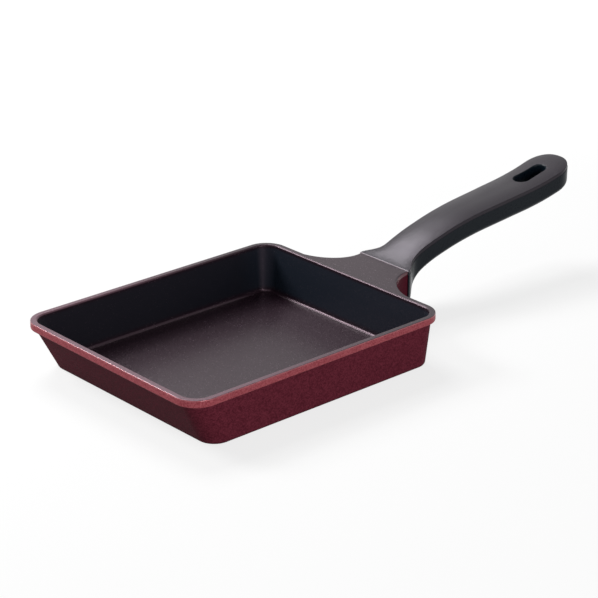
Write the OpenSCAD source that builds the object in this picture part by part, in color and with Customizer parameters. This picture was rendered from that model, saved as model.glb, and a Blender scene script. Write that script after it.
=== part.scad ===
// Rectangular omelette pan: a die-cast pan with a sloped front wall, and a moulded grip on its tang.
// Origin: centre of the resting plane under the rim. +X runs along the grip and +Z is up.

/* [Pan] */
// Length of the rim, along the grip
rim_l = 180; // [150:1:240]
// Width of the rim
rim_w = 148; // [120:1:200]
// Height of the rim above the resting plane
pan_h = 30.9; // [27:0.1:45]
// Plan radius of the rim's corners
rim_corner_r = 13.6; // [10:0.1:20]
// Plan radius of the outer corners at the resting plane
base_corner_r = 11.4; // [6:0.1:14]
// Width of the rim's top face
rim_face_w = 3.6; // [3:0.05:5]
// Height of the lip around the rim
lip_h = 4.3; // [2.5:0.1:6]
// How far the lip stands out from the wall below it
lip_overhang = 2.4; // [0.8:0.1:3]
// Lean of the front wall, over which the omelette is turned out
front_lean = 27.4; // [10:0.2:35]
// Lean of the wall at the grip
back_lean = 4.9; // [2:0.1:12]
// Lean of the two side walls
side_lean = 3.3; // [2:0.1:12]
// Thickness of the floor
floor_t = 2.5; // [2:0.1:5]
// Thickness of the walls where they meet the floor
wall_base_t = 2.9; // [2:0.1:4]
// Radius where the walls turn into the resting face
base_edge_r = 2.5; // [1:0.1:4]
// Plan radius of the inner corners where the walls come down to the floor
floor_corner_r = 6.5; // [4:0.1:9]
// Radius between the floor and the walls inside
floor_edge_r = 2; // [1.5:0.1:3.5]
// Radius on the outer edges of the lip
lip_edge_r = 0.5; // [0.3:0.1:1]
// Radius on the inner edge of the rim's top face
inner_edge_r = 0.9; // [0.3:0.1:1.5]

/* [Neck] */
// Length of the neck from the rim to the grip
neck_l = 24; // [18:0.5:40]
// Width of the rim that the neck's flare takes up
flare_w = 95; // [70:1:110]
// Rise from the rim to the grip's top at the joint
neck_rise = 1.4; // [0:0.1:4]
// How far the neck's top lies below the grip's top at the joint
neck_drop = 0.3; // [0:0.1:1]
// How far the grip stands out on both sides of the neck and under it
joint_step = 0.7; // [0.2:0.1:2]
// Thickness of the neck's skin over its cored underside
neck_skin = 4; // [3:0.5:6]
// Radius on the neck's lower edges
neck_edge_r = 3.5; // [1:0.5:4]
// Radius on the neck's upper edges in the hollow of the flare
neck_top_r = 2.9; // [1:0.1:4]

/* [Grip] */
// Length of the grip from the joint to its tip
grip_l = 149.5; // [130:0.5:200]
// Rise of the grip's top from the joint to its tip
grip_rise = 31.2; // [22:0.2:40]
// How much higher the grip's top is along its middle than at its edges
grip_crown = 1.1; // [0:0.1:2]
// Width of the grip where it is narrowest
grip_w = 25; // [23:0.5:32]
// Width of the grip before its round tip
tip_w = 29; // [25:0.2:36]
// Thickness of the grip
grip_t = 13.3; // [11:0.1:16]
// Width of the grip at the joint
joint_w = 41; // [36:0.5:50]
// Height of the grip at the joint
joint_h = 22.4; // [19:0.2:26]
// Radius on the lower edges of the grip
grip_lower_r = 3.5; // [1:0.1:5]
// Radius on the upper edges of the grip
grip_upper_r = 0.8; // [0.4:0.1:2]
// Distance from the grip's tip to the small end of the hanging slot
slot_margin = 14.5; // [9:0.5:20]
// Distance between the centres of the slot's two round ends
slot_l = 14.5; // [8:0.5:24]
// Radius of the slot's end that is nearer to the pan
slot_large_r = 5.1; // [4:0.1:7]
// Radius of the slot's end that is nearer to the tip
slot_small_r = 4.5; // [3:0.1:6]

/* [Fastening] */
// Length of the tang that enters the grip
tang_l = 27; // [22:0.5:30]
// Width of the tang
tang_w = 16; // [12:0.5:17]
// Thickness of the tang
tang_t = 5.4; // [4.5:0.1:6]
// Clearance around the tang in its socket
tang_fit = 0.15; // [0.05:0.05:0.3]
// Distance along the tang from the joint to the screw
screw_reach = 9; // [7:0.5:14]
// Diameter of the screw's thread
screw_d = 4; // [3:0.5:4]
// Radial gap between the screw and its tapped hole
thread_gap = 0.02; // [0.01:0.01:0.05]
// Radial clearance around the screw in the grip and the washers
screw_fit = 0.15; // [0.1:0.05:0.4]
// Diameter of the screw's head
head_d = 9.4; // [8:0.1:10]
// Height of the screw's head
head_h = 2.5; // [2:0.1:4]
// Radius of the recess for the screw's head in the grip
recess_r = 5.3; // [5.2:0.1:6]
// Thickness of the grip between the tang and the washers
seat_t = 2; // [1.5:0.1:3]
// Thickness of the plain washer
washer_t = 0.8; // [0.5:0.1:1.2]
// Outer diameter of the plain washer
washer_d = 9; // [8:0.1:10]
// Thickness of the spring washer
spring_t = 1; // [0.6:0.1:1.2]
// Outer diameter of the spring washer
spring_d = 7.6; // [7:0.1:9]

/* [Hidden] */
$fn = 64;

corner_steps = 8;
edge_steps = 4;
flare_steps = 14;
side_steps = 26;
tip_steps = 9;
slot_steps = 12;
crown_steps = 2;
joint_crown = 0.15;
flare_power = 1.7;
flare_start = 0.4;
neck_root = 1;
tip_power = 2.25;
tip_round_l = 15;
depth_fade_l = 10;
width_fade_l = 8;
slice = 0.1;
past = 1;
cut = 40;

joint_x = rim_l / 2 + neck_l;
joint_top = pan_h + neck_rise;
joint_low = joint_top - joint_h;
lip_low = pan_h - lip_h;
wall_top_x = rim_l / 2 - lip_overhang;
wall_top_y = rim_w / 2 - lip_overhang;

// How the grip's top rises from the joint to the tip: shares of its length and of its rise.
rise_shape = [[0, 0], [0.053, 0.058], [0.133, 0.218], [0.24, 0.373], [0.4, 0.533],
              [0.6, 0.643], [0.77, 0.735], [0.904, 0.865], [1, 1]];

// A smooth curve through a short list of [place, value] stations
function chord(t, i, j) = (t[j][1] - t[i][1]) / (t[j][0] - t[i][0]);
function grade(t, i) = chord(t, max(i - 1, 0), min(i + 1, len(t) - 1));
function span_of(t, x, i = 0) = (i >= len(t) - 2 || x < t[i + 1][0]) ? i : span_of(t, x, i + 1);
function curve(t, x) =
    let (i = span_of(t, x), h = t[i + 1][0] - t[i][0], u = (x - t[i][0]) / h)
    t[i][1] * (1 + 2 * u) * pow(1 - u, 2) + grade(t, i) * h * u * pow(1 - u, 2)
    + t[i + 1][1] * pow(u, 2) * (3 - 2 * u) - grade(t, i + 1) * h * pow(u, 2) * (1 - u);

// The other half of an outline that is symmetric about y = 0
function mirrored(half) =
    [for (k = [len(half) - 1:-1:0]) if (half[k][1] < 0) [half[k][0], -half[k][1], half[k][2]]];
function closed(half) = concat(half, mirrored(half));

// A closed solid through loops of equally many points, each symmetric about y = 0. The first loop is
// closed by strips that face down, and the last by strips that face up.
function strip(n, k) = [k, k + 1, n - 2 - k, n - 1 - k];
function strips(n) = [for (k = [0:floor(n / 2) - 1]) if (n - 2 - k > k + 1) strip(n, k)
                      else if (n - 2 - k == k + 1 && n % 2 == 1) [k, k + 1, k + 2]];
module loft(loops) {
    n = len(loops[0]);
    last = (len(loops) - 1) * n;
    sides = [for (i = [0:len(loops) - 2], k = [0:n - 1])
        let (a = i * n + k, b = i * n + (k + 1) % n)
        each [[a, a + n, b + n], [a, b + n, b]]];
    tops = [for (s = strips(n)) [for (k = [len(s) - 1:-1:0]) s[k] + last]];
    polyhedron([for (l = loops) each l], concat(strips(n), sides, tops), convexity = 6);
}

// Distance of a leaning wall from its foot at height z, with a rounded foot of radius r
function foot_inset(lean, r) = r * (1 - sin(lean)) / cos(lean);
function wall_out(top, lean, z, r) =
    let (foot = top - lip_low * tan(lean))
    z < r * (1 - sin(lean))
        ? foot - foot_inset(lean, r) + sqrt(pow(r, 2) - pow(r - z, 2))
        : foot + z * tan(lean);

// The inner wall is straight from the rim to the floor, where it turns over floor_edge_r
function inner_lean(rim, top, lean) =
    atan((rim - rim_face_w - wall_out(top, lean, floor_t, 0) + wall_base_t) / (pan_h - floor_t));
function wall_in(rim, top, lean, z) =
    let (in_lean = inner_lean(rim, top, lean), up = z - floor_t,
         foot = wall_out(top, lean, floor_t, 0) - wall_base_t)
    up < floor_edge_r * (1 - sin(in_lean))
        ? foot - foot_inset(in_lean, floor_edge_r)
          + sqrt(pow(floor_edge_r, 2) - pow(floor_edge_r - up, 2))
        : foot + up * tan(in_lean);

// A loop in the form of a rectangle with round corners
function ring(front, back, side, r, z) =
    [for (c = [0:3], k = [0:corner_steps])
        let (a = 90 * (c + k / corner_steps),
             cx = (c == 0 || c == 3) ? back - r : r - front,
             cy = (c < 2) ? side - r : r - side)
        [cx + r * cos(a), cy + r * sin(a), z]];
function outer_ring(z) =
    let (share = z / lip_low, top_r = rim_corner_r - lip_overhang,
         round_in = base_edge_r * pow(1 - min(z / base_edge_r, 1), 2))
    ring(wall_out(wall_top_x, front_lean, z, base_edge_r),
         wall_out(wall_top_x, back_lean, z, base_edge_r),
         wall_out(wall_top_y, side_lean, z, base_edge_r),
         base_corner_r + (top_r - base_corner_r) * share - round_in, z);
function lip_ring(inset, z) =
    ring(rim_l / 2 - inset, rim_l / 2 - inset, rim_w / 2 - inset, rim_corner_r - inset, z);
function inner_ring(z, out = 0) =
    let (share = (z - floor_t) / (pan_h - floor_t), top_r = rim_corner_r - rim_face_w,
         round_in = floor_edge_r * pow(1 - min((z - floor_t) / floor_edge_r, 1), 2))
    ring(wall_in(rim_l / 2, wall_top_x, front_lean, z) + out,
         wall_in(rim_l / 2, wall_top_x, back_lean, z) + out,
         wall_in(rim_w / 2, wall_top_y, side_lean, z) + out,
         floor_corner_r + (top_r - floor_corner_r) * share - round_in + out, z);

// Heights up a rounded edge of radius r, closer together where it turns fastest
function edge_heights(r) = [for (k = [0:edge_steps]) r * (1 - cos(90 * k / edge_steps))];

module pan_shell() {
    loft(concat(
        [for (z = edge_heights(base_edge_r)) outer_ring(z)],
        [for (share = [0.5, 1]) outer_ring(base_edge_r + (lip_low - base_edge_r) * share)],
        [for (k = [1:edge_steps]) let (a = 90 * k / edge_steps)
            lip_ring(lip_edge_r * (1 - sin(a)), lip_low + lip_edge_r * (1 - cos(a)))],
        [for (k = [0:edge_steps]) let (a = 90 * k / edge_steps)
            lip_ring(lip_edge_r * (1 - cos(a)), pan_h - lip_edge_r * (1 - sin(a)))],
        [for (k = [0:edge_steps]) let (a = 90 * k / edge_steps)
            inner_ring(pan_h - inner_edge_r * (1 - cos(a)), inner_edge_r * (1 - sin(a)))],
        [for (z = edge_heights(floor_edge_r)) inner_ring(floor_edge_r - z + floor_t)]));
}

// The neck's upper edge is rounded most in the hollow of the flare, half way from the rim to the joint
function hollow_r(share) =
    grip_upper_r + (min(neck_top_r, lip_h - slice) - grip_upper_r) * sin(180 * share);

// Half of the neck's outline: in from the pan's outer face at height z, along the flare to the joint.
// It is moved in by an inset and, for the upper edge, in and down by two shares of its radius.
function outer_face(z) = z < lip_low ? wall_out(wall_top_x, back_lean, z, 0) : rim_l / 2;
function neck_half(z_rim, z_joint, inset = 0, in_share = 0, down_share = 0) =
    let (a = joint_x - outer_face(z_rim) + flare_start, b = (flare_w - joint_w) / 2 + joint_step + inset,
         root_x = wall_out(wall_top_x, back_lean, z_rim, 0) - neck_root)
    concat([[root_x, -flare_w / 2, z_rim - hollow_r(0) * down_share]],
           [for (k = [0:flare_steps])
               let (f = 90 * k / flare_steps, share = 1 - pow(cos(f), 2 / flare_power),
                    r = hollow_r(share), x = joint_x - (a + r * in_share) * (1 - share),
                    y = (b + r * in_share) * pow(sin(f), 2 / flare_power) - flare_w / 2,
                    along = (x - joint_x + neck_l) / neck_l)
               [x, y, z_rim + (z_joint - z_rim) * along - r * down_share]]);

module neck() {
    low = joint_low + joint_step;
    loft(concat(
        [for (k = [0:edge_steps]) let (a = 90 * k / edge_steps, z = low + neck_edge_r * (1 - cos(a)))
            closed(neck_half(z, z, neck_edge_r * (1 - sin(a))))],
        [for (z = [lip_low - slice, lip_low]) closed(neck_half(z, z))],
        [for (k = [0:edge_steps]) let (a = 90 * k / edge_steps)
            closed(neck_half(pan_h, joint_top - neck_drop, 0, 1 - cos(a), 1 - sin(a)))]));
}

// Size of the grip at a distance s from the joint
function fade(s, reach, power) = exp(-pow(s / reach, power));
function grip_top(s) = joint_top + grip_rise * curve(rise_shape, s / grip_l);
function grip_depth(s) = grip_t + (joint_h - grip_t) * fade(s, depth_fade_l, 1.3);
function grip_half(s) =
    let (w = grip_w / 2 + (tip_w - grip_w) / 2 * pow(s / (grip_l - tip_round_l), 1.5))
    w + (joint_w / 2 - w) * fade(s, width_fade_l, 2);

// Half of the grip's outline, inset from its edge, at a height above its underside or below its top
function grip_points(inset) =
    let (body_l = grip_l - tip_round_l)
    concat([for (k = [0:side_steps]) let (s = body_l * pow(k / side_steps, 1.4))
               [s, inset - grip_half(s)]],
           [for (k = [1:tip_steps]) let (f = 90 * k / tip_steps)
               [body_l + (tip_round_l - inset) * pow(sin(f), 2 / tip_power),
                k == tip_steps ? 0 : (inset - grip_half(body_l)) * pow(cos(f), 2 / tip_power)]]);
function grip_low_loop(inset, up) =
    closed([for (p = grip_points(inset)) [joint_x + p[0], p[1], grip_top(p[0]) - grip_depth(p[0]) + up]]);
function grip_top_loop(inset, down) =
    closed([for (p = grip_points(inset)) [joint_x + p[0], p[1], grip_top(p[0]) - down]]);

// The crown of the grip's top rises from its edges over a third of its width, and it grows from a
// small share of its height at the joint
function crown_at(s) = grip_crown * (1 - (1 - joint_crown) * fade(s, width_fade_l, 2));
function crown_loop(share) =
    closed([for (p = grip_points(grip_upper_r + grip_w / 3 * share))
        [joint_x + p[0], p[1], grip_top(p[0]) + crown_at(p[0]) * (1 - pow(1 - share, 2))]]);

module grip_solid() {
    loft(concat(
        [for (k = [0:edge_steps + 1]) let (a = 90 * k / (edge_steps + 1))
            grip_low_loop(grip_lower_r * (1 - sin(a)), grip_lower_r * (1 - cos(a)))],
        [for (k = [0:edge_steps]) let (a = 90 * k / edge_steps)
            grip_top_loop(grip_upper_r * (1 - cos(a)), grip_upper_r * (1 - sin(a)))],
        [for (k = [1:crown_steps]) crown_loop(k / crown_steps)]));
}

// The tang follows the middle of the grip, from the joint to its own end
function grip_middle(s) = grip_top(s) - grip_depth(s) / 2;
tang_lean = atan((grip_middle(tang_l) - grip_middle(0)) / tang_l);
module on_tang() {
    translate([joint_x, 0, grip_middle(0)]) rotate([0, -tang_lean, 0]) children();
}
module at_screw() {
    on_tang() translate([screw_reach, 0, -tang_t / 2]) children();
}

module tang_block(gap) {
    on_tang() translate([-neck_skin, -tang_w / 2 - gap, -tang_t / 2 - gap])
        cube([tang_l + neck_skin + gap, tang_w + 2 * gap, tang_t + 2 * gap]);
}

// Space left by the core in the neck's underside, between the pan's wall, the joint and the skin
module neck_core() {
    core_l = neck_l + lip_overhang - 2 * neck_skin;
    core_w = joint_w - 2 * joint_step - 2 * neck_skin;
    translate([joint_x - neck_skin - core_l, -core_w / 2, joint_low - cut])
        cube([core_l, core_w, cut + joint_h - neck_skin - neck_rise]);
}

module pan_body() {
    color("#6e1f2b") union() {
        pan_shell();
        difference() {
            neck();
            neck_core();
        }
        difference() {
            tang_block(0);
            at_screw() translate([0, 0, -past]) cylinder(h = tang_t + 2 * past, r = screw_d / 2);
        }
    }
}

module slot_outline() {
    turn = asin((slot_large_r - slot_small_r) / slot_l);
    small_x = joint_x + grip_l - slot_margin - slot_small_r;
    polygon(concat(
        [for (k = [0:slot_steps]) let (a = (90 - turn) * (2 * k / slot_steps - 1))
            [small_x + slot_small_r * cos(a), slot_small_r * sin(a)]],
        [for (k = [0:slot_steps]) let (a = 90 - turn + (180 + 2 * turn) * k / slot_steps)
            [small_x - slot_l + slot_large_r * cos(a), slot_large_r * sin(a)]]));
}

module handle_grip() {
    color("#3a3538") difference() {
        grip_solid();
        tang_block(tang_fit);
        at_screw() translate([0, 0, -cut / 2]) cylinder(h = cut / 2, r = screw_d / 2 + screw_fit);
        at_screw() translate([0, 0, -tang_fit - seat_t - cut / 2]) cylinder(h = cut / 2, r = recess_r);
        translate([0, 0, joint_top - cut]) linear_extrude(height = 3 * cut) slot_outline();
    }
}

// Places along the screw, down from the tang's lower face
washer_top = -tang_fit - seat_t;
spring_top = washer_top - washer_t;
head_top = spring_top - spring_t;

module handle_screw() {
    recess_w = 1;
    recess_span = 4.4;
    recess_depth = 1.5;
    dome_r = (pow(head_d / 2, 2) + pow(head_h, 2)) / (2 * head_h);
    color("#b8b8bc") at_screw() difference() {
        union() {
            translate([0, 0, head_top]) cylinder(h = tang_t - head_top, r = screw_d / 2 - thread_gap);
            intersection() {
                translate([0, 0, head_top - head_h]) cylinder(h = head_h, r = head_d / 2);
                translate([0, 0, head_top - head_h + dome_r]) sphere(r = dome_r);
            }
        }
        for (turn = [0, 90])
            translate([0, 0, head_top - head_h]) rotate([0, 0, turn])
                cube([recess_span, recess_w, 2 * recess_depth], center = true);
    }
}

module spring_washer() {
    slit_w = 0.8;
    slit_turn = 20;
    color("#8d8f94") at_screw() translate([0, 0, head_top]) difference() {
        cylinder(h = spring_t, r = spring_d / 2);
        translate([0, 0, -past]) cylinder(h = spring_t + 2 * past, r = screw_d / 2 + screw_fit);
        rotate([slit_turn, 0, 0]) translate([0, -slit_w / 2, -spring_t])
            cube([spring_d, slit_w, 3 * spring_t]);
    }
}

module plain_washer() {
    color("#a3a5aa") at_screw() translate([0, 0, spring_top]) difference() {
        cylinder(h = washer_t, r = washer_d / 2);
        translate([0, 0, -past]) cylinder(h = washer_t + 2 * past, r = screw_d / 2 + screw_fit);
    }
}

pan_body();
handle_grip();
handle_screw();
spring_washer();
plain_washer();
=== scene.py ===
# %% [markdown]
# A rectangular omelette pan is one aluminium casting and one moulded grip, joined by a hidden screw.
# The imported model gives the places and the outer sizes, and the finer sizes are repeated here. This
# lesson builds smoother surfaces over it, gives them their finishes and lights them in a studio.

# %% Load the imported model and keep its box
import math

import bmesh
import bpy
from mathutils import Matrix, Quaternion, Vector
from mathutils.bvhtree import BVHTree


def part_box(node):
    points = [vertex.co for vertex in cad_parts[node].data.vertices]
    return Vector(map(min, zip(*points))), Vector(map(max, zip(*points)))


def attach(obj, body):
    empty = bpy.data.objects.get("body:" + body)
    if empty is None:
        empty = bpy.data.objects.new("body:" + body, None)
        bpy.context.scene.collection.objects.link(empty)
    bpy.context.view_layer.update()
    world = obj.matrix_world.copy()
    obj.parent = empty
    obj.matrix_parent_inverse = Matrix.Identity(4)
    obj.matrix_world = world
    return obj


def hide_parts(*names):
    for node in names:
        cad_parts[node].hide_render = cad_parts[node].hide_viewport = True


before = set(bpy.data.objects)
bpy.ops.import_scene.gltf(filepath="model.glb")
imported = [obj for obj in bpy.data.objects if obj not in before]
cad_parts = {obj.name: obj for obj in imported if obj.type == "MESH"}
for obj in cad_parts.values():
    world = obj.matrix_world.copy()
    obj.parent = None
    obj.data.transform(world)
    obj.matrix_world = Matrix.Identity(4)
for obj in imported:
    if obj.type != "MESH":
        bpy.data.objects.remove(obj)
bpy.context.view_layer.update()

# %% [markdown]
# The camera comes first, because everything is judged from it. The photograph was taken from the
# near left corner of the pan, a little over a metre away, with a long lens. Its place is worked out
# from a target on the object, a direction and a distance, as a photographer would set a tripod.

# %% Place the camera
MM = 0.001
SENSOR = 36.0
LENS = 131.26
CAMERA_AZIMUTH = math.radians(-42.094)
CAMERA_ELEVATION = math.radians(22.744)
CAMERA_ROLL = math.radians(0.259)
CAMERA_DISTANCE = 1256.5 * MM
CAMERA_TARGET = Vector((67.71, 21.9, 14.77)) * MM


def direction(azimuth, elevation):
    """The direction from the object to a viewer; azimuth 0 is on the -Y side"""
    flat = math.cos(elevation)
    return Vector((math.sin(azimuth) * flat, -math.cos(azimuth) * flat, math.sin(elevation)))


def add_camera():
    data = bpy.data.cameras.new("photo_camera")
    data.sensor_width = SENSOR
    data.lens = LENS
    camera = bpy.data.objects.new("photo_camera", data)
    back = direction(CAMERA_AZIMUTH, CAMERA_ELEVATION)
    camera.location = CAMERA_TARGET + back * CAMERA_DISTANCE
    camera.rotation_mode = "QUATERNION"
    level = (-back).to_track_quat("-Z", "Y")
    camera.rotation_quaternion = level @ Quaternion((0, 0, 1), CAMERA_ROLL)
    bpy.context.collection.objects.link(camera)
    bpy.context.scene.camera = camera
    return camera


camera = add_camera()
print("camera at", tuple(round(c, 4) for c in camera.location))

# %% [markdown]
# Node trees are long when they are drawn by hand. One small class wraps a socket, so that sums are
# written as Python expressions, and one method adds any other node. Both the grip's shape and all
# of the finishes are written with it.

# %% Write node trees as expressions
class Value:
    """One output socket of a node tree"""

    def __init__(self, tree, socket):
        self.tree = tree
        self.socket = socket

    def node(self, kind, settings=None, inputs=None, output=0):
        return add_node(self.tree, kind, settings, inputs, output)

    def math(self, operation, *others):
        return self.node("ShaderNodeMath", {"operation": operation}, [self, *others])

    def __add__(self, other):
        return self.math("ADD", other)

    def __sub__(self, other):
        return self.math("SUBTRACT", other)

    def __mul__(self, other):
        return self.math("MULTIPLY", other)

    def __truediv__(self, other):
        return self.math("DIVIDE", other)

    def __pow__(self, other):
        return self.math("POWER", other)

    def __rsub__(self, other):
        return self.node("ShaderNodeMath", {"operation": "SUBTRACT"}, [other, self])

    __radd__ = __add__
    __rmul__ = __mul__

    def clamped(self):
        return self.node("ShaderNodeClamp", None, {"Value": self})

    def ramp(self, low, high):
        """0 below low, 1 above high, and a smooth rise between them"""
        return self.node("ShaderNodeMapRange", {"interpolation_type": "SMOOTHSTEP"},
                         {"Value": self, "From Min": low, "From Max": high})


def set_socket(tree, socket, value):
    """Links a Value to a socket, or writes anything else into it"""
    if isinstance(value, Value):
        tree.links.new(value.socket, socket)
    else:
        socket.default_value = value


def set_points(mapping, points):
    """Gives a float curve its [x, y] points"""
    curve = mapping.curves[0]
    while len(curve.points) < len(points):
        curve.points.new(0.5, 0.5)
    for point, (x, y) in zip(curve.points, points):
        point.location = (x, y)
        point.handle_type = "AUTO"
    mapping.update()


def add_node(tree, kind, settings=None, inputs=None, output=0):
    """Adds a node of any kind: its settings first, then its sockets by name or by place"""
    made = tree.nodes.new(kind)
    for name, value in (settings or {}).items():
        if name == "points":
            set_points(made.mapping, value)
        else:
            setattr(made, name, value)
    pairs = inputs.items() if isinstance(inputs, dict) else enumerate(inputs or [])
    for key, value in pairs:
        set_socket(tree, made.inputs[key], value)
    return Value(tree, made.outputs[output])


print("node helpers ready")

# %% [markdown]
# A finish is a physical shader with a few numbers and a few patterns. What is the same all over goes
# straight to the shader's socket. What changes over the surface, such as flakes in a coat, is read
# from the object's own coordinates, so the pattern stays on the pan when it is turned or exported.

# %% Helpers for finishes
class Finish:
    """A material, its tree and its main shader"""

    def __init__(self, name, **numbers):
        self.material = bpy.data.materials.new(name)
        self.material.use_nodes = True
        self.tree = self.material.node_tree
        self.shader = self.tree.nodes["Principled BSDF"]
        self.place = self.add("ShaderNodeTexCoord", output="Object")
        for key, value in numbers.items():
            self.set(key.replace("_", " ").title().replace("Ior", "IOR"), value)

    def add(self, kind, settings=None, inputs=None, output=0):
        return add_node(self.tree, kind, settings, inputs, output)

    def set(self, socket, value):
        set_socket(self.tree, self.shader.inputs[socket], value)

    def height(self):
        """Height over the resting plane, in metres"""
        return self.add("ShaderNodeSeparateXYZ", None, [self.place], "Z")

    def along(self):
        """Distance from the middle of the pan towards the grip, in metres"""
        return self.add("ShaderNodeSeparateXYZ", None, [self.place], "X")

    def noise(self, size, detail=2.0, stretch=(1, 1, 1)):
        """Cloudy noise from 0 to 1 with features of about one size"""
        spot = self.add("ShaderNodeMapping", None, {"Vector": self.place, "Scale": stretch})
        return self.add("ShaderNodeTexNoise", None,
                        {"Vector": spot, "Scale": 1 / size, "Detail": detail})

    def cells(self, size, output="Distance"):
        """Small cells of about one size: the distance from each centre, or one value per cell"""
        made = self.add("ShaderNodeTexVoronoi", None,
                        {"Vector": self.place, "Scale": 1 / size}, output)
        if output == "Color":
            return self.add("ShaderNodeSeparateColor", None, [made], "Red")
        return made

    def colour(self, mask, low, high):
        """One colour where the mask is 0 and another where it is 1, as numbers or as Values"""
        low, high = (c if isinstance(c, Value) else (*c, 1) for c in (low, high))
        return self.add("ShaderNodeMix", {"data_type": "RGBA"}, {0: mask, 6: low, 7: high}, 2)

    def bump(self, height, depth):
        """Tilts the light as a relief of some depth, in metres, would"""
        relief = self.add("ShaderNodeBump", None,
                          {"Height": height, "Distance": depth, "Strength": 1.0})
        self.set("Normal", relief)


print("finish helpers ready")

# %% [markdown]
# Outside, the casting has a wine-red metallic coat, which is paint with fine aluminium flakes in it.
# Small cells stand for the flakes, and each has its own shade, gloss and tilt. The walls are mostly
# paint, without the grey sheen that a gloss layer takes on at a glancing angle. The lip is more
# metallic, and its colour is brighter, a painted sheen for the light that it reflects. Only its top
# edge has a clear layer, which draws a thin line of light. On the sides of the neck the colour is
# darker, a painted shade.

# %% Mix the wine-red coat
FLAKE = 0.6 * MM
CLOUD = 14 * MM
LIP_BAND = (26.2 * MM, 27.2 * MM)
CLEAR_BAND = (30.1 * MM, 30.4 * MM)
NECK_START = 90 * MM
LIP_END = (NECK_START, NECK_START + 1 * MM)
# Over this stretch towards the grip the coat's colour is darkened, a painted shade on the neck's
# sides.
NECK_PAINTED_SHADE = (NECK_START, NECK_START + 6 * MM)


def wine_red_coat():
    coat = Finish("wine_red_coat", specular_ior_level=0, coat_roughness=0.12)
    flakes = coat.cells(FLAKE, "Color")
    clouds = coat.noise(CLOUD)
    on_lip = coat.height().ramp(*LIP_BAND) * (1 - coat.along().ramp(*LIP_END))
    # Flake and cloud tone, darkened on the neck by painted shade.
    light = (flakes * 0.8 + clouds * 0.2) * (1 - coat.along().ramp(*NECK_PAINTED_SHADE) * 0.8)
    wall = coat.colour(light, (0.075, 0.0105, 0.0190), (0.180, 0.0310, 0.0500))
    # The lip's colour is brighter: a painted sheen for the light that the lip reflects.
    lip_with_painted_sheen = coat.colour(light, (0.220, 0.0370, 0.0490), (0.390, 0.0980, 0.1150))
    coat.set("Base Color", coat.colour(on_lip, wall, lip_with_painted_sheen))
    coat.set("Metallic", 0.1 + on_lip * 0.4)
    coat.set("Coat Weight", coat.height().ramp(*CLEAR_BAND))
    coat.set("Roughness", 0.30 + flakes * 0.12)
    coat.bump(flakes, 0.01 * MM)
    return coat.material


RED_PAINT = wine_red_coat()
print("mixed", RED_PAINT.name)

# %% [markdown]
# Inside, the casting has a dark non-stick coat with a mauve cast. It has the soft gloss of a sprayed
# and baked film: a faint orange peel, and pale mineral specks that are much smaller than a grain of
# rice. The specks are the middles of sparse cells, and only some of the cells have one. The coat is
# duller on the walls, and there its colour is darker and bluer, a painted shade, with painted light
# towards the wall by the grip. On top of the rim its colour is paler, a painted light that is
# brightest at the front.

# %% Mix the non-stick coat
RIM_BAND = (29.8 * MM, 30.4 * MM)
RIM_END = (NECK_START, NECK_START + 4 * MM)
RIM_PAINTED_LIGHT_RUN = (-90 * MM, 80 * MM)
WALL_FOOT = (3 * MM, 7 * MM)
WALL_HEAD = (28 * MM, 30.2 * MM)
HANDLE_WALL_PAINTED_LIGHT = (60 * MM, 84 * MM)
SPECK_CELL = 1.3 * MM
SPECK_EDGE = (0.10, 0.20)
SPECK_SHARE = 0.55


def nonstick_coat():
    coat = Finish("nonstick_coat", specular_ior_level=0.29, specular_tint=(1.0, 0.7, 0.85, 1))
    height, along = coat.height(), coat.along()
    on_rim = height.ramp(*RIM_BAND) * (1 - along.ramp(*RIM_END))
    on_wall = height.ramp(*WALL_FOOT) * (1 - height.ramp(*WALL_HEAD))
    flat = coat.colour(coat.noise(1.2 * MM), (0.0040, 0.0010, 0.0028), (0.0160, 0.0075, 0.0125))
    # On the walls the colour is darker and bluer, a painted shade, and lighter towards the wall by the
    # grip, a painted light.
    wall = coat.colour(along.ramp(*HANDLE_WALL_PAINTED_LIGHT), (0.0012, 0.0034, 0.0060), (0.0040, 0.0084, 0.0140))
    # The rim's colour is paler by painted light, brightest at the front and fading towards the grip.
    rim = coat.colour(along.ramp(*RIM_PAINTED_LIGHT_RUN), (0.100, 0.050, 0.066), (0.008, 0.003, 0.006))
    film = coat.colour(on_rim, coat.colour(on_wall, flat, wall), rim)
    has_speck = coat.cells(SPECK_CELL, "Color").math("GREATER_THAN", 1 - SPECK_SHARE)
    speck = (1 - coat.cells(SPECK_CELL).ramp(*SPECK_EDGE)) * has_speck * (1 - on_wall * 0.8)
    coat.set("Base Color", coat.colour(speck * 0.7, film, (0.20, 0.15, 0.18)))
    coat.set("Roughness", 0.24 + coat.noise(1.1 * MM) * 0.1 + on_wall * 0.15)
    coat.bump(coat.noise(1.0 * MM, 3.0), 0.05 * MM)
    return coat.material


NONSTICK = nonstick_coat()
print("mixed", NONSTICK.name)

# %% [markdown]
# The grip is moulded in black phenolic resin. Its top is textured by the mould, so it looks grey and
# matt in the light, while its sides are as smooth as the polished half of the mould. Where the grip
# meets the neck, a pale line along the upper edge of its end face is a painted highlight.

# %% Mix the two faces of the moulding
JOINT_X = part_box("handle_grip")[0].x
# A painted highlight: a pale line along the upper edge of the grip's end face at the joint.
JOINT_HIGHLIGHT_REACH = (JOINT_X + 0.2 * MM, JOINT_X + 0.4 * MM)
JOINT_HIGHLIGHT_HEIGHT = (31.7 * MM, 32 * MM)
JOINT_HIGHLIGHT_COLOUR = (0.27, 0.23, 0.26)


def with_painted_joint_highlight(resin, black):
    """The resin's colour, with a painted highlight along the upper edge of its end face"""
    joint_highlight = (1 - resin.along().ramp(*JOINT_HIGHLIGHT_REACH)) * resin.height().ramp(*JOINT_HIGHLIGHT_HEIGHT)
    return resin.colour(joint_highlight, black, JOINT_HIGHLIGHT_COLOUR)


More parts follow.
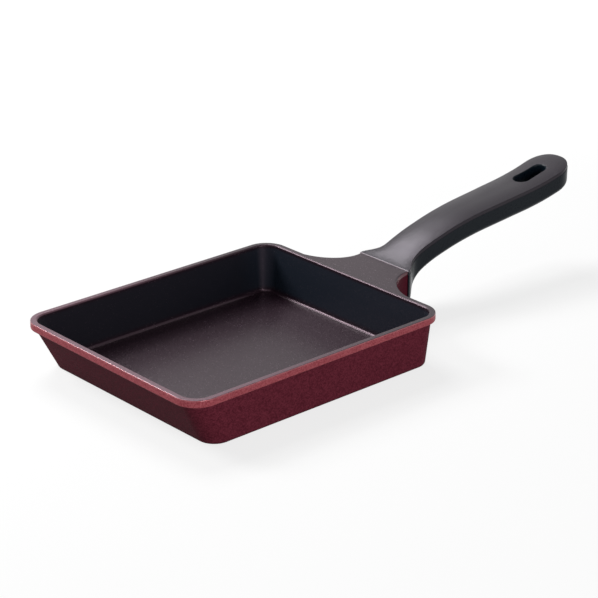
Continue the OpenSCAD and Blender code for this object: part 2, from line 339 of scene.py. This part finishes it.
def phenolic_side():
    resin = Finish("phenolic_side", specular_ior_level=0.1)
    swirl = resin.noise(12 * MM, 4.0, (0.4, 1, 1))
    black = resin.colour(swirl, (0.0018, 0.0046, 0.0085), (0.0042, 0.0080, 0.0125))
    resin.set("Base Color", with_painted_joint_highlight(resin, black))
    resin.set("Roughness", 0.24 + resin.noise(2 * MM) * 0.08)
    resin.bump(resin.noise(1.5 * MM), 0.012 * MM)
    return resin.material


def phenolic_top():
    resin = Finish("phenolic_top", specular_ior_level=0.25, specular_tint=(0.95, 0.85, 1.0, 1))
    grain = resin.noise(0.6 * MM, 3.0)
    clouds = resin.noise(10 * MM)
    black = resin.colour(clouds, (0.0050, 0.0035, 0.0060), (0.0090, 0.0068, 0.0100))
    resin.set("Base Color", with_painted_joint_highlight(resin, black))
    resin.set("Roughness", 0.27 + grain * 0.1)
    resin.bump(grain, 0.08 * MM)
    return resin.material


RESIN_SIDE, RESIN_TOP = phenolic_side(), phenolic_top()
print("mixed", RESIN_SIDE.name, "and", RESIN_TOP.name)

# %% [markdown]
# The screw and the washers sit in a recess under the grip. They keep their exact solids, so each only
# needs its plating: bright and slightly yellow zinc, or the darker grey of oiled spring steel.

# %% Mix the plating of the fasteners
def plating(name, dark, light, roughness):
    metal = Finish(name, metallic=1.0)
    brushed = metal.noise(0.3 * MM, 3.0, (1, 1, 8))
    metal.set("Base Color", metal.colour(metal.noise(1.5 * MM), dark, light))
    metal.set("Roughness", roughness + brushed * 0.15)
    metal.bump(brushed, 0.004 * MM)
    return metal.material


ZINC = plating("zinc_plate", (0.52, 0.51, 0.48), (0.66, 0.65, 0.61), 0.24)
SPRING_STEEL = plating("spring_steel", (0.30, 0.30, 0.31), (0.42, 0.42, 0.43), 0.34)
for name, metal in (("handle_screw", ZINC), ("spring_washer", SPRING_STEEL), ("plain_washer", ZINC)):
    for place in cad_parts[name].material_slots:
        place.material = metal
print("plated", ZINC.name, "and", SPRING_STEEL.name)

# %% [markdown]
# The pan's tray is a stack of rectangles with round corners. Each wall leans by its own angle, so a
# plain scaled box won't do: every ring works out where the four walls are at its height. The rings
# run from the middle of the underside, up the outside, over the lip and down to the floor.

# %% Sizes of the tray
pan_low, pan_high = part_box("pan_body")
RIM_X = -pan_low.x
RIM_Y = pan_high.y
PAN_HEIGHT = 30.9 * MM
RIM_CORNER = 13.6 * MM
BASE_CORNER = 11.4 * MM
RIM_FACE = 3.6 * MM
LIP_HEIGHT = 4.3 * MM
LIP_OVERHANG = 2.4 * MM
FLOOR = 2.5 * MM
WALL_AT_FLOOR = 2.9 * MM
BASE_EDGE = 2.5 * MM
FLOOR_CORNER = 6.5 * MM
FLOOR_EDGE = 2.0 * MM
LIP_EDGE = 0.5 * MM
INNER_EDGE = 0.9 * MM
FRONT_LEAN = math.radians(27.4)
BACK_LEAN = math.radians(4.9)
SIDE_LEAN = math.radians(3.3)
LIP_LOW = PAN_HEIGHT - LIP_HEIGHT
WALL_X = RIM_X - LIP_OVERHANG
WALL_Y = RIM_Y - LIP_OVERHANG
CORNER_STEPS = 20
EDGE_STEPS = 8
SUPPORT = 1.0 * MM


def rounded_foot(foot, lean, radius, up):
    """Where a leaning wall is at a height over its foot, when a radius rounds the foot"""
    if up < radius * (1 - math.sin(lean)):
        start = foot - radius * (1 - math.sin(lean)) / math.cos(lean)
        return start + math.sqrt(max(radius**2 - (radius - up) ** 2, 0))
    return foot + up * math.tan(lean)


def outer_wall(top, lean, z, radius=BASE_EDGE):
    """How far out a wall's outer face is at a height, from where it meets the lip"""
    return rounded_foot(top - LIP_LOW * math.tan(lean), lean, radius, z)


def inner_wall(rim, top, lean, z):
    """How far out a wall's inner face is: it runs straight from the floor to the rim's face"""
    foot = outer_wall(top, lean, FLOOR, 0) - WALL_AT_FLOOR
    slope = math.atan((rim - RIM_FACE - foot) / (PAN_HEIGHT - FLOOR))
    return rounded_foot(foot, slope, FLOOR_EDGE, z - FLOOR)


print("rim", round(2 * RIM_X, 4), "by", round(2 * RIM_Y, 4), "m")

# %% Rings of the tray
def ring(walls, radius, z):
    """A rectangle with round corners, anticlockwise from above"""
    front, back, side = walls
    points = []
    for corner, (sx, sy) in enumerate([(1, 1), (-1, 1), (-1, -1), (1, -1)]):
        cx = back - radius if sx > 0 else radius - front
        cy = sy * (side - radius)
        for k in range(CORNER_STEPS + 1):
            a = math.pi / 2 * (corner + k / CORNER_STEPS)
            points.append(Vector((cx + radius * math.cos(a), cy + radius * math.sin(a), z)))
    return points


def outer_ring(z, inset=0.0):
    share = z / LIP_LOW
    top_radius = RIM_CORNER - LIP_OVERHANG
    rounded = BASE_EDGE * (1 - min(z / BASE_EDGE, 1)) ** 2
    radius = BASE_CORNER + (top_radius - BASE_CORNER) * share - rounded - inset
    walls = (
        outer_wall(WALL_X, FRONT_LEAN, z),
        outer_wall(WALL_X, BACK_LEAN, z),
        outer_wall(WALL_Y, SIDE_LEAN, z),
    )
    return ring([w - inset for w in walls], radius, z)


def lip_ring(inset, z):
    return ring([RIM_X - inset, RIM_X - inset, RIM_Y - inset], RIM_CORNER - inset, z)


def inner_ring(z, inset=0.0):
    share = (z - FLOOR) / (PAN_HEIGHT - FLOOR)
    rounded = FLOOR_EDGE * (1 - min((z - FLOOR) / FLOOR_EDGE, 1)) ** 2
    radius = FLOOR_CORNER + (RIM_CORNER - RIM_FACE - FLOOR_CORNER) * share - rounded - inset
    walls = (
        inner_wall(RIM_X, WALL_X, FRONT_LEAN, z),
        inner_wall(RIM_X, WALL_X, BACK_LEAN, z),
        inner_wall(RIM_Y, WALL_Y, SIDE_LEAN, z),
    )
    return ring([w - inset for w in walls], radius, z)


def quarter(radius, k):
    """How far a quarter-round edge is in and up after k of its steps"""
    a = math.pi / 2 * k / EDGE_STEPS
    return radius * (1 - math.sin(a)), radius * (1 - math.cos(a))


def tray_rings():
    """All rings from the underside to the floor, and the first ring of the inner coat"""
    rings = [outer_ring(0, SUPPORT)]
    rings += [outer_ring(quarter(BASE_EDGE, k)[1]) for k in range(EDGE_STEPS + 1)]
    rings += [outer_ring(z) for z in (BASE_EDGE + SUPPORT, LIP_LOW / 2, LIP_LOW - SUPPORT, LIP_LOW)]
    for k in range(EDGE_STEPS + 1):
        inset, up = quarter(LIP_EDGE, k)
        rings.append(lip_ring(inset, LIP_LOW + up))
    coat_edge = len(rings) + EDGE_STEPS // 2
    for k in range(EDGE_STEPS + 1):
        down, inset = quarter(LIP_EDGE, k)
        rings.append(lip_ring(inset, PAN_HEIGHT - down))
    for k in range(EDGE_STEPS + 1):
        out, down = quarter(INNER_EDGE, k)
        rings.append(inner_ring(PAN_HEIGHT - down, -out))
    inside = (PAN_HEIGHT - INNER_EDGE - SUPPORT, PAN_HEIGHT / 2, FLOOR + FLOOR_EDGE + SUPPORT)
    rings += [inner_ring(z) for z in inside]
    rings += [inner_ring(FLOOR + quarter(FLOOR_EDGE, k)[1]) for k in range(EDGE_STEPS, -1, -1)]
    rings.append(inner_ring(FLOOR, SUPPORT))
    return rings, coat_edge


rings, COAT_EDGE = tray_rings()
print(len(rings), "rings of", len(rings[0]), "points")

# %% [markdown]
# All the rings have equally many points. A band of four-sided faces therefore joins each ring to the
# next, and one flat face closes each end. The bands up to the middle of the lip's top edge are
# painted, and those after it have the inner coat.

# %% Turn loops into a closed mesh
SAME_PLACE = 1e-6
PAINTED, COATED = 0, 1


def link(name, mesh):
    made = bpy.data.objects.new(name, mesh)
    bpy.context.collection.objects.link(made)
    return made


def mesh_from_loops(name, loops, coat_edge=math.inf):
    """Joins loops of equally many points and closes the first and the last with a flat face"""
    count, last = len(loops[0]), len(loops) - 1
    faces = [tuple(range(count))[::-1], tuple(range(last * count, (last + 1) * count))]
    bands = [0, last - 1]
    for i in range(last):
        for k in range(count):
            a, b = i * count + k, i * count + (k + 1) % count
            faces.append((a, b, b + count, a + count))
            bands.append(i)
    mesh = bpy.data.meshes.new(name)
    mesh.from_pydata([p for loop in loops for p in loop], [], faces)
    for polygon, band in zip(mesh.polygons, bands):
        polygon.material_index = COATED if band >= coat_edge else PAINTED
    weld(mesh)
    return link(name, mesh)


def weld(mesh):
    """Merges doubles and makes every face of a closed mesh look outwards"""
    work = bmesh.new()
    work.from_mesh(mesh)
    bmesh.ops.remove_doubles(work, verts=work.verts, dist=SAME_PLACE)
    bmesh.ops.recalc_face_normals(work, faces=work.faces)
    work.to_mesh(mesh)
    work.free()


casting = mesh_from_loops("pan_casting", rings, COAT_EDGE)
casting.data.materials.append(RED_PAINT)
casting.data.materials.append(NONSTICK)
print("tray has", len(casting.data.polygons), "faces")

# %% [markdown]
# The neck grows out of the lip in two hollow curves and ends flat against the grip. It is one casting
# with the tray, so its mesh is joined to the tray's and not laid over it. Its outline is a quarter of
# a superellipse, which hugs the rim a little longer than a circle would. The tang goes on from it into
# the grip, where it can't be seen.

# %% Sizes of the neck
grip_low, grip_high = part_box("handle_grip")
JOINT_WIDTH = 2 * grip_high.y
JOINT_LOW = grip_low.z
NECK_RISE = 1.4 * MM
NECK_DROP = 0.3 * MM
JOINT_TOP = PAN_HEIGHT + NECK_RISE
JOINT_HEIGHT = JOINT_TOP - JOINT_LOW
JOINT_STEP = 0.7 * MM
FLARE_WIDTH = 95 * MM
FLARE_START = 0.4 * MM
FLARE_POWER = 1.7
FLARE_STEPS = 40
NECK_ROOT = 1 * MM
NECK_EDGE = 3.5 * MM
NECK_HOLLOW = 2.9 * MM
NECK_ENDS = 0.8 * MM
SLIVER = 0.1 * MM
COATED_TURN = 5


def hollow_radius(share):
    """The neck's upper edge is rounded most half way from the rim to the joint"""
    return NECK_ENDS + (NECK_HOLLOW - NECK_ENDS) * math.sin(math.pi * share)


def neck_loop(z_rim, z_joint, inset=0.0, down_share=0.0, in_share=0.0):
    """An outline moved in by an inset, or down and in by two shares of the upper edge's radius"""
    face = RIM_X if z_rim > LIP_LOW - SLIVER / 2 else outer_wall(WALL_X, BACK_LEAN, z_rim, 0)
    reach = JOINT_X - face + FLARE_START
    spread = (FLARE_WIDTH - JOINT_WIDTH) / 2 + JOINT_STEP + inset
    root = outer_wall(WALL_X, BACK_LEAN, z_rim, 0) - NECK_ROOT
    half = [Vector((root, -FLARE_WIDTH / 2, z_rim - NECK_ENDS * down_share))]
    for k in range(FLARE_STEPS + 1):
        a = math.pi / 2 * k / FLARE_STEPS
        left = max(math.cos(a), 0) ** (2 / FLARE_POWER)
        radius = hollow_radius(1 - left)
        x = JOINT_X - (reach + radius * in_share) * left
        y = (spread + radius * in_share) * math.sin(a) ** (2 / FLARE_POWER) - FLARE_WIDTH / 2
        along = (x - RIM_X) / (JOINT_X - RIM_X)
        half.append(Vector((x, y, z_rim + (z_joint - z_rim) * along - radius * down_share)))
    return half + [Vector((p.x, -p.y, p.z)) for p in reversed(half)]


def neck_loops():
    """All loops of the neck from its underside up, and the first loop of the inner coat"""
    loops = []
    for k in range(EDGE_STEPS + 1):
        inset, up = quarter(NECK_EDGE, k)
        z = JOINT_LOW + JOINT_STEP + up
        loops.append(neck_loop(z, z, inset))
    loops += [neck_loop(z, z) for z in (LIP_LOW - SLIVER, LIP_LOW)]
    coat_edge = len(loops) + COATED_TURN
    for k in range(EDGE_STEPS + 1):
        down_share, in_share = quarter(1, k)
        loops.append(neck_loop(PAN_HEIGHT, JOINT_TOP - NECK_DROP, 0, down_share, in_share))
    return loops, coat_edge


loops, NECK_COAT_EDGE = neck_loops()
neck = mesh_from_loops("neck", loops, NECK_COAT_EDGE)
print("neck has", len(neck.data.polygons), "faces")

# %% [markdown]
# Holes and joins are cut with booleans, as a machinist or a die maker would think of them: a cutter is
# a simple closed block, and the exact solver keeps each face's finish.

# %% Cut and join
ROD_SIDES = 96
ROUND_STEPS = 6


def block(name, low, high, matrix=Matrix(), rounding=0.0):
    """A closed box between two corners, with its upright and upper edges rounded if asked"""
    low, high = Vector(low), Vector(high)
    work = bmesh.new()
    bmesh.ops.create_cube(work, size=1)
    for v in work.verts:
        v.co = Vector([low[i] + (v.co[i] + 0.5) * (high[i] - low[i]) for i in range(3)])
    if rounding:
        edges = [e for e in work.edges if max(v.co.z for v in e.verts) > high.z - SAME_PLACE]
        bmesh.ops.bevel(work, geom=edges, offset=rounding, segments=ROUND_STEPS, profile=0.5,
                        affect="EDGES")
    return from_bmesh(name, work, matrix)


def rod(name, radius, bottom, top, matrix):
    """A closed round rod along local Z"""
    work = bmesh.new()
    bmesh.ops.create_cone(work, cap_ends=True, segments=ROD_SIDES, radius1=radius, radius2=radius,
                          depth=top - bottom)
    bmesh.ops.translate(work, verts=work.verts, vec=(0, 0, (top + bottom) / 2))
    return from_bmesh(name, work, matrix)


def from_bmesh(name, work, matrix):
    """Puts a closed shape in its place and makes it an object"""
    work.transform(matrix)
    bmesh.ops.recalc_face_normals(work, faces=work.faces)
    mesh = bpy.data.meshes.new(name)
    work.to_mesh(mesh)
    work.free()
    return link(name, mesh)


def apply_modifiers(piece):
    """Keeps the evaluated shape as a plain mesh and removes the modifiers"""
    evaluated = piece.evaluated_get(bpy.context.evaluated_depsgraph_get())
    mesh = bpy.data.meshes.new_from_object(evaluated)
    piece.modifiers.clear()
    piece.data = mesh


def boolean(piece, operation, *tools):
    """Joins each tool to a piece or cuts it out, and removes the tool"""
    for tool in tools:
        step = piece.modifiers.new("step", "BOOLEAN")
        step.operation = operation
        step.solver = "EXACT"
        step.object = tool
        apply_modifiers(piece)
        bpy.data.objects.remove(tool)


print("cutting helpers ready")

# %% [markdown]
# The tang leans up with the grip. Its lean isn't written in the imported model, but its tip's upper
# corner is the highest point of the casting, and that gives the lean. The underside of the neck is
# cored, as such castings are, to keep the metal about as thick there as in the walls.

# %% Join the neck and the tang to the tray
NECK_SKIN = 4 * MM
CORE_EDGE = 2 * MM
TANG_LENGTH = 27 * MM
TANG_WIDTH = 16 * MM
TANG_THICKNESS = 5.4 * MM
TANG_FIT = 0.15 * MM
SCREW_REACH = 9 * MM
SCREW_RADIUS = 2 * MM
SCREW_FIT = 0.15 * MM
SEAT = 2 * MM
RECESS_RADIUS = 5.3 * MM
LONG_CUT = 20 * MM
SHORT_CUT = 1 * MM
JOINT_MIDDLE = JOINT_TOP - JOINT_HEIGHT / 2
corner_reach = math.hypot(TANG_LENGTH, TANG_THICKNESS / 2)
corner_turn = math.atan2(TANG_THICKNESS / 2, TANG_LENGTH)
TANG_LEAN = math.asin((pan_high.z - JOINT_MIDDLE) / corner_reach) - corner_turn
ON_TANG = Matrix.Translation((JOINT_X, 0, JOINT_MIDDLE)) @ Matrix.Rotation(-TANG_LEAN, 4, "Y")
AT_SCREW = ON_TANG @ Matrix.Translation((SCREW_REACH, 0, -TANG_THICKNESS / 2))
print("the tang leans by", round(math.degrees(TANG_LEAN), 2), "degrees")


def tang_block(name, gap):
    """The tang, or its socket when there is a gap all round it"""
    half_width, half_thickness = TANG_WIDTH / 2 + gap, TANG_THICKNESS / 2 + gap
    low = (-NECK_SKIN, -half_width, -half_thickness)
    high = (TANG_LENGTH + gap, half_width, half_thickness)
    return block(name, low, high, ON_TANG)


def neck_core():
    """The hollow under the neck, which leaves a skin all round and is open below"""
    half = JOINT_WIDTH / 2 - JOINT_STEP - NECK_SKIN
    low = (WALL_X + NECK_SKIN, -half, JOINT_LOW - LONG_CUT)
    high = (JOINT_X - NECK_SKIN, half, PAN_HEIGHT - NECK_SKIN)
    return block("core", low, high, rounding=CORE_EDGE)


screw_hole = rod("hole", SCREW_RADIUS, -SHORT_CUT, TANG_THICKNESS + SHORT_CUT, AT_SCREW)
boolean(neck, "DIFFERENCE", neck_core())
boolean(casting, "UNION", neck, tang_block("tang", 0))
boolean(casting, "DIFFERENCE", screw_hole)
print("casting has", len(casting.data.polygons), "faces")

# %% [markdown]
# The grip is a bar whose outline, height and thickness follow rules along its length, so it is made
# by Geometry Nodes. A flat grid is bent: one way round the outline, from the joint along one side,
# round the tip and back, and the other way from the middle of the underside, over the rounded edges
# to the middle of the top. A float curve holds the bend that the hand feels. The two halves of the
# mould leave a narrow ledge along the side, just under the top edge, and the top itself is crowned.

# %% Sizes of the grip
RISE_SHAPE = [(0, 0), (0.053, 0.058), (0.133, 0.218), (0.24, 0.373), (0.4, 0.533),
              (0.6, 0.643), (0.77, 0.735), (0.904, 0.865), (1, 1)]
TIP_POWER = 2.25
BODY_SPACING = 1.3
WIDENING = 1.5
WIDTH_FADE = 8 * MM
DEPTH_FADE = 10 * MM
DEPTH_POWER = 1.3
JOINT_CROWN = 0.15
CAP_REACH = 0.9
TEXTURE_START = 0.3
MERGE = 0.005 * MM
QUARTER_TURN = math.pi / 2
OUTLINE_STEPS = 240
TIP_SHARE = 0.25
LEVEL_RUNS = {"low_cap": 5, "low_round": 10, "side": 10, "ledge": 3, "band": 2, "top_round": 5,
              "top_cap": 9, "middle": 1}
LEVEL_STEPS = sum(LEVEL_RUNS.values())
GRIP_SIZES = {
    "Joint X": JOINT_X,
    "Joint Top": JOINT_TOP,
    "Joint Width": JOINT_WIDTH,
    "Joint Height": JOINT_HEIGHT,
    "Length": grip_high.x - JOINT_X,
    "Rise": 31.2 * MM,
    "Crown": 1.1 * MM,
    "Waist Width": 25 * MM,
    "Tip Width": 29 * MM,
    "Thickness": 13.3 * MM,
    "Tip Length": 15 * MM,
    "Lower Edge": 3.5 * MM,
    "Upper Edge": 0.4 * MM,
    "Band Height": 1.4 * MM,
    "Ledge Width": 0.3 * MM,
    "Ledge Height": 0.4 * MM,
}
print("the grip has", LEVEL_STEPS, "levels and", OUTLINE_STEPS, "steps round its outline")

# %% Bend a flat grid into the grip
def grip_point(size, across, level):
    """Where a point of the grid goes, and whether the mould textures it"""
    half = 1 - (across * 2 - 1).math("ABSOLUTE")
    side = (across - 0.5).math("SIGN")
    body = (half / (1 - TIP_SHARE)).clamped()
    turn = ((half - (1 - TIP_SHARE)) / TIP_SHARE).clamped() * QUARTER_TURN
    run, done = {}, 0
    for name, steps in LEVEL_RUNS.items():
        run[name] = ((level - done) / steps).clamped()
        done += steps
    low_turn = run["low_round"] * QUARTER_TURN
    top_turn = run["top_round"] * QUARTER_TURN

    body_length = size["Length"] - size["Tip Length"]
    along_body = body_length * body ** BODY_SPACING
    widen = (along_body / body_length) ** WIDENING
    waist_half = size["Waist Width"] * 0.5
    plain_half = waist_half + (size["Tip Width"] - size["Waist Width"]) * 0.5 * widen
    flare = ((along_body / WIDTH_FADE) ** 2 * -1).math("EXPONENT")
    half_width = plain_half + (size["Joint Width"] * 0.5 - plain_half) * flare

    inset = size["Lower Edge"] * (1 - low_turn.math("SINE"))
    inset = inset + size["Upper Edge"] * (1 - top_turn.math("COSINE"))
    inset = inset + size["Ledge Width"] * run["ledge"]
    cap = waist_half - size["Ledge Width"] - size["Upper Edge"]
    inset = inset + cap * run["top_cap"] * CAP_REACH
    along = along_body + (size["Tip Length"] - inset) * turn.math("SINE") ** (2 / TIP_POWER)
    taper = turn.math("COSINE").math("MAXIMUM", 0.0) ** (2 / TIP_POWER)
    y = side * (half_width - inset) * taper * run["low_cap"] * (1 - run["middle"])

    rise = along.node("ShaderNodeFloatCurve", {"points": RISE_SHAPE},
                      {"Value": along / size["Length"]})
    top = size["Joint Top"] + size["Rise"] * rise
    fade = ((along / DEPTH_FADE) ** DEPTH_POWER * -1).math("EXPONENT")
    depth = size["Thickness"] + (size["Joint Height"] - size["Thickness"]) * fade
    above_side = size["Ledge Height"] + size["Band Height"] + size["Upper Edge"]
    up = size["Lower Edge"] * (1 - low_turn.math("COSINE"))
    up = up + (depth - size["Lower Edge"] - above_side) * run["side"]
    up = up + size["Ledge Height"] * run["ledge"] + size["Band Height"] * run["band"]
    crown = size["Crown"] * (1 - (1 - JOINT_CROWN) * flare) * (1 - (1 - run["top_cap"]) ** 2)
    up = up + size["Upper Edge"] * top_turn.math("SINE") + crown
    x, z = size["Joint X"] + along, top - depth + up
    spot = along.node("ShaderNodeCombineXYZ", None, [x, y, z])
    return spot, run["ledge"].math("GREATER_THAN", TEXTURE_START)


def grip_tree():
    tree = bpy.data.node_groups.new("grip_moulding", "GeometryNodeTree")
    tree.is_modifier = True
    tree.interface.new_socket("Geometry", in_out="OUTPUT", socket_type="NodeSocketGeometry")
    for name in GRIP_SIZES:
        tree.interface.new_socket(name, in_out="INPUT", socket_type="NodeSocketFloat")
    entry = tree.nodes.new("NodeGroupInput")
    size = {name: Value(tree, entry.outputs[name]) for name in GRIP_SIZES}

    grid = add_node(tree, "GeometryNodeMeshGrid", None, {
        "Size X": 1.0, "Size Y": 1.0,
        "Vertices X": OUTLINE_STEPS + 1, "Vertices Y": LEVEL_STEPS + 1})
    place = grid.node("GeometryNodeInputPosition")
    across = place.node("ShaderNodeSeparateXYZ", None, [place], "X") + 0.5
    level = (place.node("ShaderNodeSeparateXYZ", None, [place], "Y") + 0.5) * LEVEL_STEPS
    spot, on_top = grip_point(size, across, level)

    marked = grid.node("GeometryNodeStoreNamedAttribute",
                       {"data_type": "BOOLEAN", "domain": "FACE"},
                       {"Geometry": grid, "Name": "textured", "Value": on_top})
    bent = grid.node("GeometryNodeSetPosition", None, {"Geometry": marked, "Position": spot})
    welded = bent.node("GeometryNodeMergeByDistance", None, {"Geometry": bent, "Distance": MERGE})
    real = welded.node("GeometryNodeRealizeInstances", None, {"Geometry": welded})
    polished = real.node("GeometryNodeSetMaterial", None,
                         {"Geometry": real, "Material": RESIN_SIDE})
    textured = real.node("GeometryNodeInputNamedAttribute", {"data_type": "BOOLEAN"},
                         {"Name": "textured"})
    coated = real.node("GeometryNodeSetMaterial", None, {
        "Geometry": polished, "Selection": textured, "Material": RESIN_TOP})
    leave = tree.nodes.new("NodeGroupOutput")
    set_socket(tree, leave.inputs[0], coated)
    return tree


GRIP_TREE = grip_tree()
print("the grip's tree has", len(GRIP_TREE.nodes), "nodes")

# %% [markdown]
# The tree runs once, on an empty mesh, and its result is kept as a plain mesh. The grip's end at the
# joint is still open, so one face closes it and its edge is eased, as the mould leaves it.

# %% Grow the grip and close its end at the joint
JOINT_EASE = 0.4 * MM
EASE_STEPS = 3


def grow_grip():
    seed = link("grip_moulding", bpy.data.meshes.new("grip_moulding"))
    nodes = seed.modifiers.new("grip_moulding", "NODES")
    nodes.node_group = GRIP_TREE
    for item in GRIP_TREE.interface.items_tree:
        if item.in_out == "INPUT":
            nodes[item.identifier] = GRIP_SIZES[item.name]
    apply_modifiers(seed)
    while seed.data.materials[0] is None:
        seed.data.materials.pop(index=0)
    work = bmesh.new()
    work.from_mesh(seed.data)
    edge = [e for e in work.edges if e.is_boundary]
    end = bmesh.ops.contextual_create(work, geom=edge)["faces"][0]
    bmesh.ops.recalc_face_normals(work, faces=work.faces)
    bmesh.ops.bevel(work, geom=list(end.edges), offset=JOINT_EASE, segments=EASE_STEPS, profile=0.5,
                    affect="EDGES")
    work.to_mesh(seed.data)
    work.free()
    return seed


grip = grow_grip()
print("grip has", len(grip.data.polygons), "faces and", len(grip.data.materials), "finishes")

# %% [markdown]
# The hanging slot goes through a top that slopes and an underside that slopes differently, and both
# of its edges are rounded. Its cutter is therefore a stack of slot outlines. Each of them follows the
# grip's own surface, found by a ray, and they open out towards it like the rounding that they leave.

# %% Outlines of the hanging slot
SLOT_MARGIN = 14.5 * MM
SLOT_LENGTH = 14.5 * MM
SLOT_LARGE = 5.1 * MM
SLOT_SMALL = 4.5 * MM
SLOT_EDGE = 0.9 * MM
SLOT_STEPS = 40
SLOT_TURNS = [math.radians(a) for a in (0, 15, 30, 45, 60, 75, 88)]
SLOT_CROSSING = math.radians(75)
SLOT_CLEARANCE = 5 * MM


def slot_outline(out):
    """Points round the slot, which tapers towards the tip, widened all round"""
    small_x = grip_high.x - SLOT_MARGIN - SLOT_SMALL
    large_x = small_x - SLOT_LENGTH
    small, large = SLOT_SMALL + out, SLOT_LARGE + out
    lean = math.asin((SLOT_LARGE - SLOT_SMALL) / SLOT_LENGTH)
    points = []
    for k in range(SLOT_STEPS + 1):
        a = (math.pi / 2 - lean) * (2 * k / SLOT_STEPS - 1)
        points.append((small_x + small * math.cos(a), small * math.sin(a)))
    for k in range(SLOT_STEPS + 1):
        a = math.pi / 2 - lean + (math.pi + 2 * lean) * k / SLOT_STEPS
        points.append((large_x + large * math.cos(a), large * math.sin(a)))
    return points


def slot_cutter(piece):
    """A stack of outlines that opens out at both faces of a piece"""
    tree = BVHTree.FromObject(piece, bpy.context.evaluated_depsgraph_get())

    def face(x, y, up):
        return tree.ray_cast(Vector((x, y, up)), Vector((0, 0, -up)))[0].z

    stack = []
    for up in (-1, 1):
        rounds = []
        for a in SLOT_TURNS:
            rise = SLOT_EDGE * (math.sin(a) - math.sin(SLOT_CROSSING))
            outline = slot_outline(SLOT_EDGE * (1 - math.cos(a)))
            rounds.append([Vector((x, y, face(x, y, up) + up * rise)) for x, y in outline])
        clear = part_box("handle_grip")[0 if up < 0 else 1].z + up * SLOT_CLEARANCE
        rounds.append([Vector((p.x, p.y, clear)) for p in rounds[-1]])
        stack += rounds if up > 0 else rounds[::-1]
    return mesh_from_loops("slot_cutter", stack)


grip_cutters = [
    slot_cutter(grip),
    tang_block("socket", TANG_FIT),
    rod("screw_way", SCREW_RADIUS + SCREW_FIT, -LONG_CUT, 0, AT_SCREW),
    rod("recess", RECESS_RADIUS, -LONG_CUT, -TANG_FIT - SEAT, AT_SCREW),
]
boolean(grip, "DIFFERENCE", *grip_cutters)
print("grip has", len(grip.data.polygons), "faces after its cuts")

# %% [markdown]
# Castings and mouldings have no facets. Smooth shading blends the faces, except where they meet at a
# real edge, and weighted normals keep the large flat faces flat. Then each piece is attached to the
# body it rides on, and the imported solid that it stands for is hidden.

# %% Smooth and place the two pieces
SHARP_ANGLE = math.radians(35)
FLAT_WEIGHT = 80


def smooth(piece):
    piece.data.shade_smooth()
    piece.data.set_sharp_from_angle(angle=SHARP_ANGLE)
    weighted = piece.modifiers.new("weighted_normals", "WEIGHTED_NORMAL")
    weighted.keep_sharp = True
    weighted.weight = FLAT_WEIGHT


for piece, node in ((casting, "pan_body"), (grip, "handle_grip")):
    smooth(piece)
    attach(piece, "root")
    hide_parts(node)
    print(piece.name, "stands for", node)

# %% [markdown]
# The studio is plain: three softboxes and an even fill from the room. The softbox on the left draws
# the thin bright lines along the rim and the lip. The one behind gives the soft shine on the pan's
# floor and the grip's top. The one near the camera lights the long red wall. Where the camera or a
# reflection looks past the pan, it sees white.

# %% Light the studio
ROOM_FILL = 0.2


def seen_directly(tree):
    """1 for rays from the camera, from a reflection or through a clear body, 0 for light"""
    path = {name: add_node(tree, "ShaderNodeLightPath", output=name)
            for name in ("Is Camera Ray", "Is Glossy Ray", "Is Transmission Ray")}
    first, second, third = path.values()
    return first.math("MAXIMUM", second).math("MAXIMUM", third)


def add_room():
    world = bpy.data.worlds.new("studio")
    bpy.context.scene.world = world
    world.use_nodes = True
    back = world.node_tree.nodes["Background"]
    back.inputs["Color"].default_value = (1, 1, 1, 1)
    seen = seen_directly(world.node_tree)
    set_socket(world.node_tree, back.inputs["Strength"], ROOM_FILL + seen * (1 - ROOM_FILL))


def softbox(name, place, aim, width, height, power):
    data = bpy.data.lights.new(name, "AREA")
    data.shape = "RECTANGLE"
    data.size, data.size_y, data.energy = width, height, power
    lamp = bpy.data.objects.new(name, data)
    lamp.location = place
    lamp.rotation_mode = "QUATERNION"
    lamp.rotation_quaternion = (Vector(aim) - Vector(place)).to_track_quat("-Z", "Y")
    bpy.context.collection.objects.link(lamp)


add_room()
softbox("left", (-0.50, 0.89, 0.80), (0, 0, 0.02), 0.4, 0.4, 16)
softbox("behind", (0.24, 0.70, 1.00), (0.12, 0, 0.04), 0.6, 0.5, 12)
softbox("near", (-0.25, -1.30, 0.45), (0, 0, 0.02), 0.6, 0.6, 9)
print("room and softboxes ready")

# %% [markdown]
# The floor is paper. To the lamps it is grey, so that it throws little light back on the pan and
# still takes its shadow. To the camera and to reflections it also glows, a little more with distance,
# until it can't be told from the white room.

# %% Lay the floor
FLOOR_REACH = 4.0
FLOOR_DEPTH = 0.02
PAPER_GREY = (0.15, 0.15, 0.15, 1)
NEAR_GLOW = 0.78
GLOW_RISE = (0.35, 0.9)


def add_floor():
    """Paper that keeps the pan's shadow and fades into a white backdrop far away"""
    low, high = (-FLOOR_REACH, -FLOOR_REACH, -FLOOR_DEPTH), (FLOOR_REACH, FLOOR_REACH, 0)
    floor = block("floor", low, high)
    paper = Finish("paper", base_color=PAPER_GREY, roughness=0.9, specular_ior_level=0,
                   emission_strength=1.0)
    distance = paper.add("ShaderNodeVectorMath", {"operation": "LENGTH"}, [paper.place], "Value")
    glow = NEAR_GLOW + distance.ramp(*GLOW_RISE) * (1 - NEAR_GLOW)
    paper.set("Emission Color", glow * seen_directly(paper.tree))
    floor.data.materials.append(paper.material)


add_floor()
bpy.context.scene.view_settings.view_transform = "Standard"
print("floor laid")
